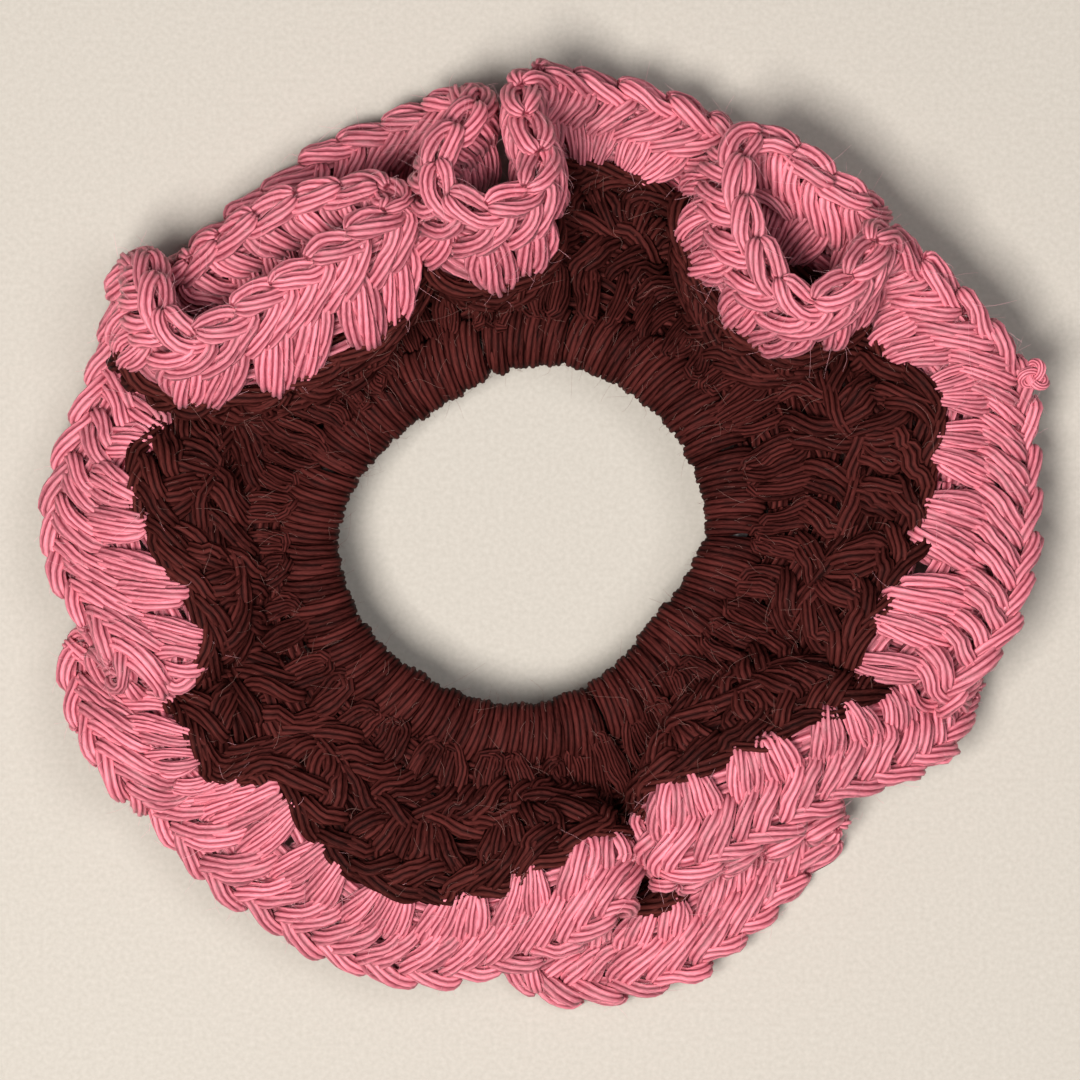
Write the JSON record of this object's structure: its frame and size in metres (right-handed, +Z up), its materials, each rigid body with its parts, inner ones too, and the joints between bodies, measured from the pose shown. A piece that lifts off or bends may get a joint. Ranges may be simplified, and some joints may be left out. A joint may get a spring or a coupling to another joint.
{
  "type": "hair scrunchie",
  "caption": "Soft crocheted hair scrunchie: an elastic ring worked over in brown yarn with a pink ruffled border, which stretches open to go round a ponytail.",
  "frame": {"origin": "centre of the outline seen from above, on the table the scrunchie lies on", "axes": "+Z up through the hole, +Y from the middle towards the tall ruffle and the way the upper half is pulled when the elastic stretches, +X to the right"},
  "size_m": [0.1146, 0.1083, 0.0298],
  "materials": {
    "natural_rubber": "matte",
    "elastic_braid": "matte braid",
    "join_sleeve": "satin",
    "brown_cotton": "soft plied yarn",
    "pink_cotton": "soft plied yarn"
  },
  "bodies": {
    "lower_half": {"lower_elastic_core": "natural_rubber", "lower_elastic_cover": "elastic_braid", "elastic_join_sleeve": "join_sleeve", "lower_foundation_round": "brown_cotton", "lower_brown_round_two": "brown_cotton", "lower_brown_round_three": "brown_cotton", "lower_pink_round": "pink_cotton", "lower_edge_chain": "pink_cotton", "brown_start_tail": "brown_cotton", "brown_end_tail": "brown_cotton"},
    "upper_half": {"upper_elastic_core": "natural_rubber", "upper_elastic_cover": "elastic_braid", "upper_foundation_round": "brown_cotton", "upper_brown_round_two": "brown_cotton", "upper_brown_round_three": "brown_cotton", "upper_pink_round": "pink_cotton", "upper_edge_chain": "pink_cotton", "pink_start_tail": "pink_cotton", "pink_end_tail": "pink_cotton", "pink_knot": "pink_cotton"}
  },
  "joints": [
    {"name": "stretch", "type": "slide", "parent": "lower_half", "child": "upper_half", "axis": [0, 1, 0], "range_m": [0, 0.04], "stiffness_N_per_m": 60}
  ]
}
